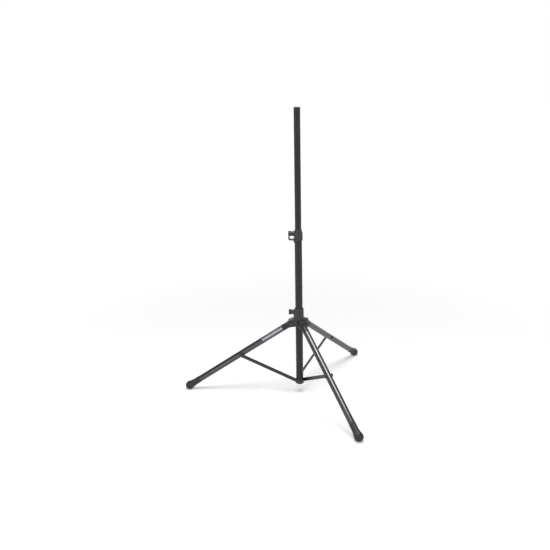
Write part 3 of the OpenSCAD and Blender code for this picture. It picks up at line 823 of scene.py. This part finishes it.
# %% Lock pin
pin_low, pin_high = -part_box("lock_pin")[1].x / MM, -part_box("lock_pin")[0].x / MM
PIN_RADIUS, FLANGE_RADIUS = 3.0, 4.9
flange_low, flange_high = pin_low + 6.9, pin_low + 8.1
pin = lathe([(0, pin_low), (PIN_RADIUS - 0.6, pin_low), (PIN_RADIUS, pin_low + 0.6),
             (PIN_RADIUS, flange_low), (FLANGE_RADIUS, flange_low), (FLANGE_RADIUS, flange_high),
             (PIN_RADIUS, flange_high), (PIN_RADIUS, pin_high - 0.5), (PIN_RADIUS - 0.5, pin_high),
             (0, pin_high)], steps=64)
piece("lock_plunger", soften(pin, 0.15, sharp=40, segments=2), "lock_pin", dark_zinc,
      place=lock_place, replaces=["lock_pin"])

CAP_HOLE, CAP_RADIUS = 3.05, 5.15
cap_ring = lathe([(CAP_HOLE, lock_face - 1.5), (CAP_RADIUS, lock_face - 1.5), (CAP_RADIUS, lock_face - 0.2),
                  (CAP_RADIUS - 0.25, lock_face), (CAP_HOLE + 0.25, lock_face),
                  (CAP_HOLE, lock_face - 0.25)], steps=64, closed=True)
spanner_slot = plate([(-6, lock_face - 0.6), (6, lock_face - 0.6), (6, lock_face + 1), (-6, lock_face + 1)],
                     -0.5, 0.5)
piece("lock_pocket_cap", carved(cap_ring, spanner_slot), "column", dark_zinc,
      place=lock_place, replaces=["lock_cap"])

# %% Pull hook
hook_low, hook_high = -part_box("lock_pull")[1].x / MM, -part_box("lock_pull")[0].x / MM
hook_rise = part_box("lock_pull")[1].z / MM - lock_height
HOOK_HALF, HOOK_ARM, HOOK_WIDTH = 3.0, 4.6, 8.0
HOOK_BEND, HOOK_CREASE, HOOK_CORNER = 12.5, 6.0, 3.0
SOCKET_HEIGHT = 8.5
hook_inner = hook_high - HOOK_WIDTH
hook_outline = rounded([(HOOK_ARM, hook_low, 0.8), (HOOK_ARM, hook_high, HOOK_BEND),
                        (-hook_rise, hook_high, HOOK_CORNER), (-hook_rise, hook_inner, HOOK_CORNER),
                        (-HOOK_ARM, hook_inner, HOOK_CREASE), (-HOOK_ARM, hook_low, 0.8)], steps=10)
socket_top = hook_low + SOCKET_HEIGHT
pin_socket = lathe([(0, hook_low), (HOOK_ARM - 0.6, hook_low), (HOOK_ARM, hook_low + 0.6),
                    (HOOK_ARM, socket_top - 1), (HOOK_ARM - 1, socket_top), (0, socket_top)], steps=64)
hook = carved(joined(plate(hook_outline, -HOOK_HALF, HOOK_HALF), pin_socket),
              rod(PIN_RADIUS + 0.02, hook_low - 2, hook_low + 7, sides=64))
piece("pull_hook", moulded(hook, 0.35, rounds=5), "lock_pin", knob_grain,
      place=lock_place, replaces=["lock_pull"])
print(f"hook: {hook_high - hook_low:.1f} mm deep,", len(made[-1].data.polygons), "faces")

# %% [markdown]
# ## The block at the foot
# The block closes the main tube and holds the three brace screws, each on a flat of its own. It
# starts as a turned shape, and a bisecting plane slices off each flat and fills the cut.

# %% Foot block
block_low, block_high = ends("base_block")
main_low = ends("main_tube")[0]
BLOCK_RADIUS = 24.0
FLAT_REACH = 20.6
screw_height = joints["brace_left_hinge"]["pos_m"][2] / MM
block = lathe([(0, block_low + 1.2), (9, block_low + 1.2), (10, block_low), (BLOCK_RADIUS - 6, block_low),
               (BLOCK_RADIUS - 0.6, block_low + 4), (BLOCK_RADIUS, block_low + 6),
               (BLOCK_RADIUS, main_low - 0.2), (main_radius - MAIN_WALL - 0.1, main_low - 0.2),
               (main_radius - MAIN_WALL - 0.1, block_high), (0, block_high)])
for side in SIDES:
    across = Vector(joints[f"leg_{side}_hinge"]["axis"])
    sliced(block, across * FLAT_REACH * MM, across)
bmesh.ops.recalc_face_normals(block, faces=block.faces)
piece("foot_block", soften(block, 0.5, sharp=28), "column", nylon,
      replaces=["base_block"])

brace_inner = -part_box("brace_left_bar")[1].y / MM
brace_outer = -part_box("brace_left_bar")[0].y / MM
screws = []
for side in SIDES:
    screw_place = side_turn[side].copy()
    screw_place.translation = (0, 0, screw_height * MM)
    shoulder_screw = screw(SCREW_HEAD, brace_outer + 0.3, FLAT_REACH - 3, rooted=0.3)
    screws.append(moved(shoulder_screw, screw_place @ turned(-90, "X")))
piece("brace_screw_set", joined(*screws), "column", dark_zinc, replaces=["brace_screws"])

# %% [markdown]
# ## The legs
# Each leg is a tube with a moulded end, a rubber boot, and a bolt through it for the brace. They
# are alike, so one loop makes three of each. The pieces are modelled along Z from the pivot, and
# the leg's matrix lays them down. The boot is turned in one profile: a thin sleeve, a flare and a
# ball with shallow grooves. The flat that it stands on is sliced off last, level with the floor.

# %% Leg shapes
leg_radius = size("leg_left_tube").y / 2 / MM
sleeve_radius = leg_radius + 0.7
leg_mm = leg_length / MM
TONGUE_HALF = 17.4
NOSE = 15.5
TONGUE_END = 21.0
TUBE_START = 55.0
TUBE_END = leg_mm - 15
BOLT_AT = (leg_place["left"].inverted() @ middle("leg_left_bolt")).z / MM
SADDLE_RADIUS, SADDLE_FACE = 10.0, 20.6
SADDLE_BACK = leg_radius + 2
BOOT_START = leg_mm - 78
BALL = 25.0


def leg_end():
    """The moulded leg end: a round-nosed tongue, a sleeve with two lips and the plug's root."""
    nose = arc((0, 0), NOSE, 180, 360, 16) + [(NOSE, TONGUE_END + 1.5), (-NOSE, TONGUE_END + 1.5)]
    tongue = plate(nose, -TONGUE_HALF, TONGUE_HALF)
    sleeve = lathe([(0, TONGUE_END), (sleeve_radius - 0.8, TONGUE_END), (sleeve_radius, TONGUE_END + 1.6),
                    (sleeve_radius, 26.5), (sleeve_radius - 0.9, 27.6), (sleeve_radius - 0.9, 46),
                    (sleeve_radius, 47.4), (sleeve_radius, TUBE_START - 0.5), (0, TUBE_START - 0.5)])
    hole = cross(PIVOT_HOLE, -25, 25)
    windows = [plate([(-5, 7), (5, 7), (4, 21), (-4, 21)], *span)
               for span in ((-TONGUE_HALF - 4, -TONGUE_HALF + 1.2), (TONGUE_HALF - 1.2, TONGUE_HALF + 4))]
    return moulded(carved(joined(tongue, sleeve), hole, *windows), 0.55, rounds=4)


def boot():
    """The rubber boot: sleeve, flare and grooved ball."""
    sleeve = leg_radius + 0.9
    waist = sleeve - 0.35
    profile = [(leg_radius + 0.02, BOOT_START + 0.4), (leg_radius + 0.5, BOOT_START),
               (sleeve, BOOT_START + 0.6), (sleeve, BOOT_START + 5), (waist, BOOT_START + 5.8),
               (waist, leg_mm - 40), (sleeve + 0.6, leg_mm - 33), (20.6, leg_mm - 22), (22.9, leg_mm - 13)]
    for start in range(-20, 80, 20):
        profile += arc((0, leg_mm), BALL, start, start + 15, 6)
        profile += arc((0, leg_mm), BALL - 0.9, start + 16.5, start + 18.5, 1)
    profile += [(0, leg_mm + BALL)]
    inside = [(0, TUBE_END + 1), (leg_radius + 0.02, TUBE_END + 1)]
    return lathe(inside + profile)


LEG_END = leg_end()
BOOT = soften(boot(), 0.25, sharp=36, segments=2)
print("leg end:", len(LEG_END.faces), "faces, boot:", len(BOOT.faces), "faces")

# %% Legs
for side in SIDES:
    place, body = leg_place[side], f"leg_{side}"
    piece(f"leg_{side}_end", LEG_END.copy(), body, leg_end_grain, place=place,
          replaces=[f"leg_{side}_knuckle"])
    bolt_hole = lifted(cross(SCREW_RADIUS + 0.1, -25, 25), BOLT_AT)
    leg = carved(tube(leg_radius, LEG_WALL, TUBE_START, TUBE_END), bolt_hole)
    piece(f"leg_{side}_pipe", leg, body, leg_coat, place=place,
          replaces=[f"leg_{side}_tube"])
    back = place.inverted()
    shoe = sliced(BOOT.copy(), back.translation, back.to_3x3() @ -UP)
    piece(f"leg_{side}_shoe", shoe, body, rubber, place=place, replaces=[f"leg_{side}_boot"])

    saddle = joined(cross(SADDLE_RADIUS, 10, SADDLE_FACE, sides=64),
                    cross(SADDLE_RADIUS, -SADDLE_BACK, -10, sides=64))
    saddle = carved(lifted(saddle, BOLT_AT), rod(leg_radius + 0.02, BOLT_AT - 20, BOLT_AT + 20, sides=ROUND))
    piece(f"leg_{side}_saddle_pads", soften(saddle, 0.35, sharp=50), body,
          leg_end_grain, place=place, replaces=[f"leg_{side}_saddle"])
    bolt = moved(screw(SCREW_HEAD, SADDLE_BACK, -SADDLE_FACE), turned(90, "X"))
    piece(f"leg_{side}_cross_bolt", lifted(bolt, BOLT_AT), body, dark_zinc, place=place,
          replaces=[f"leg_{side}_bolt"])
print("legs:", len(made), "pieces so far")

# %% [markdown]
# ## The braces
# A brace is a flat steel bar with round ends, punched for its screws. The outline is a rounded
# slot, and the punched edges are softened by the coating.

# %% Braces
BAR_HALF = 10.0
BRACE_BOLT_HEAD = (7.0, 2.6)
for side in SIDES:
    length = brace_length[side] / MM
    outline = arc((0, 0), BAR_HALF, 180, 360, 24) + arc((0, length), BAR_HALF, 0, 180, 24)
    bar = soften(plate(outline, brace_inner, brace_outer), 0.5, sharp=60, segments=3)
    body = f"brace_{side}"
    piece(f"brace_{side}_strap", bar, body, bar_coat, place=brace_place[side],
          replaces=[f"brace_{side}_bar"])
    bolt = moved(screw(BRACE_BOLT_HEAD, brace_outer, brace_inner), turned(-90, "X"))
    piece(f"brace_{side}_bolt_head", lifted(bolt, length), body, dark_zinc,
          place=brace_place[side], replaces=[f"brace_{side}_rivet"])

# %% [markdown]
# ## The strip on the left leg
# A printed film runs along the upper part of one leg: a blue-grey ground with a row of pale bars.
# A film is easiest to draw flat. It is then cut into narrow lanes with bisecting planes, so that it
# can bend, and each vertex is wound round the tube by the length that it lies off the middle.

# %% Strip
STRIP_FROM, STRIP_TO, STRIP_HALF = 56.0, 196.5, 12.0
STRIP_BARS, BAR_HALF_HEIGHT, BAR_WIDE = 9, 4.8, 11.2
STRIP_TURN = 17
STRIP_LANES = 24


def film(outlines, radius, thickness):
    """Flat outlines of (across, along) as a film that is wound round a tube."""
    sheets = joined(*[plate(outline, radius, radius + thickness) for outline in outlines])
    for lane in range(1, STRIP_LANES):
        cut = (2 * lane / STRIP_LANES - 1) * STRIP_HALF * MM
        bmesh.ops.bisect_plane(sheets, geom=sheets.verts[:] + sheets.edges[:] + sheets.faces[:],
                               plane_co=(cut, 0, 0), plane_no=(1, 0, 0))
    for vert in sheets.verts:
        angle = vert.co.x / (radius * MM)
        reach = vert.co.y
        vert.co.x, vert.co.y = reach * math.sin(angle), reach * math.cos(angle)
    bmesh.ops.recalc_face_normals(sheets, faces=sheets.faces)
    return moved(sheets, turned(STRIP_TURN, "Z"))


def patch(low, high, half, radius):
    """The outline of a rectangle with round corners, from low to high along the leg."""
    return rounded([(-half, low, radius), (half, low, radius), (half, high, radius), (-half, high, radius)])


STRIP_MARGIN = 3
strip_pitch = (STRIP_TO - STRIP_FROM - 2 * STRIP_MARGIN) / STRIP_BARS
bar_starts = [STRIP_FROM + STRIP_MARGIN + strip_pitch * (n + 0.5) - BAR_WIDE / 2 for n in range(STRIP_BARS)]
ground = film([patch(STRIP_FROM, STRIP_TO, STRIP_HALF, 2)], leg_radius + 0.02, 0.1)
piece("leg_left_strip", ground, "leg_left", film_ground, place=leg_place["left"])
bars = film([patch(start, start + BAR_WIDE, BAR_HALF_HEIGHT, 0.8) for start in bar_starts],
            leg_radius + 0.11, 0.04)
piece("leg_left_strip_bars", bars, "leg_left", film_bars, place=leg_place["left"])
print(f"strip: {STRIP_TO - STRIP_FROM:.0f} mm long with {STRIP_BARS} bars")

# %% [markdown]
# ## Floor and light
# A glossy black tube shows its surroundings more than its own colour, so the surroundings are what
# has to be right. A studio has a pale floor, white walls, a dim ceiling, one large soft lamp
# overhead and a narrow one on each side of the camera. The floor is a plain diffuse surface that
# takes the soft shadows. It also glows to the camera and in reflections, more and more with the
# distance from the stand, because the lamps reach less far than the white walls of a studio do.

# %% Floor
def camera_or_mirror(tree):
    """One where a ray comes from the camera, a reflection or a glass surface."""
    path = tree.nodes.new("ShaderNodeLightPath")
    seen = math_node(tree, "MAXIMUM", path.outputs["Is Camera Ray"], path.outputs["Is Glossy Ray"])
    return math_node(tree, "MAXIMUM", seen, path.outputs["Is Transmission Ray"])


FLOOR_RADIUS, FLOOR_GREY = 60, 0.8
floor_shape = bmesh.new()
bmesh.ops.create_circle(floor_shape, cap_ends=True, radius=FLOOR_RADIUS, segments=96)
floor_mesh = bpy.data.meshes.new("floor")
floor_shape.to_mesh(floor_mesh)
floor_shape.free()
floor = bpy.data.objects.new("floor", floor_mesh)
scene.collection.objects.link(floor)

LIFT_NEAR, LIFT_FAR = 0.38, 0.9
LIFT_REACH = 4.2
floor_paint = bpy.data.materials.new("floor_paint")
floor_paint.use_nodes = True
tree = floor_paint.node_tree
tree.nodes.remove(tree.nodes["Principled BSDF"])
matt = tree.nodes.new("ShaderNodeBsdfDiffuse")
matt.inputs["Color"].default_value = (FLOOR_GREY, FLOOR_GREY, FLOOR_GREY, 1)
from_stand = tree.nodes.new("ShaderNodeVectorMath")
from_stand.operation = "LENGTH"
tree.links.new(tree.nodes.new("ShaderNodeTexCoord").outputs["Object"], from_stand.inputs[0])
glow = remap(tree, from_stand.outputs["Value"], 0.0, LIFT_REACH, LIFT_NEAR, LIFT_FAR)
lift = tree.nodes.new("ShaderNodeEmission")
both = tree.nodes.new("ShaderNodeAddShader")
tree.links.new(math_node(tree, "MULTIPLY", camera_or_mirror(tree), glow), lift.inputs["Strength"])
tree.links.new(matt.outputs["BSDF"], both.inputs[0])
tree.links.new(lift.outputs["Emission"], both.inputs[1])
tree.links.new(both.outputs["Shader"], tree.nodes["Material Output"].inputs["Surface"])
floor_mesh.materials.append(floor_paint)

# %% World
WORLD_LEVEL, ZENITH_LEVEL = 0.4, 0.25
world = bpy.data.worlds.new("studio")
scene.world = world
world.use_nodes = True
tree = world.node_tree
sky = tree.nodes["Background"]
sky.inputs["Color"].default_value = (1, 1, 1, 1)
direction = tree.nodes.new("ShaderNodeSeparateXYZ")
tree.links.new(tree.nodes.new("ShaderNodeTexCoord").outputs["Generated"], direction.inputs["Vector"])
ceiling = remap(tree, direction.outputs["Z"], 0.25, 0.6, 1.0, ZENITH_LEVEL)
extra = math_node(tree, "MULTIPLY", camera_or_mirror(tree), 1 - WORLD_LEVEL)
level = math_node(tree, "ADD", extra, WORLD_LEVEL)
tree.links.new(math_node(tree, "MULTIPLY", level, ceiling), sky.inputs["Strength"])

# %% [markdown]
# The overhead lamp gives the bright line along the front leg and the shadows under the feet. The
# two narrow lamps draw a faint line down both sides of every upright tube, which tells the eye
# that it is round.

# %% Lamps
OVERHEAD_SIZE, OVERHEAD_WATTS = (2.0, 1.2), 66
OVERHEAD_PLACE, OVERHEAD_TURN = (-0.05, -0.5, 2.8), 30
EDGE_SIZE, EDGE_WATTS = (0.2, 2.0), 2.8
EDGE_AWAY, EDGE_TURN = 1.6, 42


def soft_lamp(name, size, watts, place):
    """A rectangular lamp that shines along its own -Z and that the camera doesn't see."""
    data = bpy.data.lights.new(name, "AREA")
    data.shape = "RECTANGLE"
    data.size, data.size_y = size
    data.energy = watts
    lamp = bpy.data.objects.new(name, data)
    lamp.matrix_world = place
    lamp.visible_camera = False
    scene.collection.objects.link(lamp)


soft_lamp("overhead", OVERHEAD_SIZE, OVERHEAD_WATTS,
          Matrix.Translation(OVERHEAD_PLACE) @ turned(OVERHEAD_TURN, "Z"))
edge_stand = Matrix.Translation((0, -EDGE_AWAY, EDGE_SIZE[1] / 2)) @ turned(90, "X")
for name, turn in (("left_edge", -EDGE_TURN), ("right_edge", EDGE_TURN)):
    soft_lamp(name, EDGE_SIZE, EDGE_WATTS, turned(turn, "Z") @ edge_stand)
print("lamps:", len(bpy.data.lights))
scene.view_settings.view_transform = "Standard"

# %% [markdown]
# ## Last count
# The number of finished pieces is printed. The finished stand has to stay inside the box of its
# construction.

# %% Count
print("pieces:", len(made))
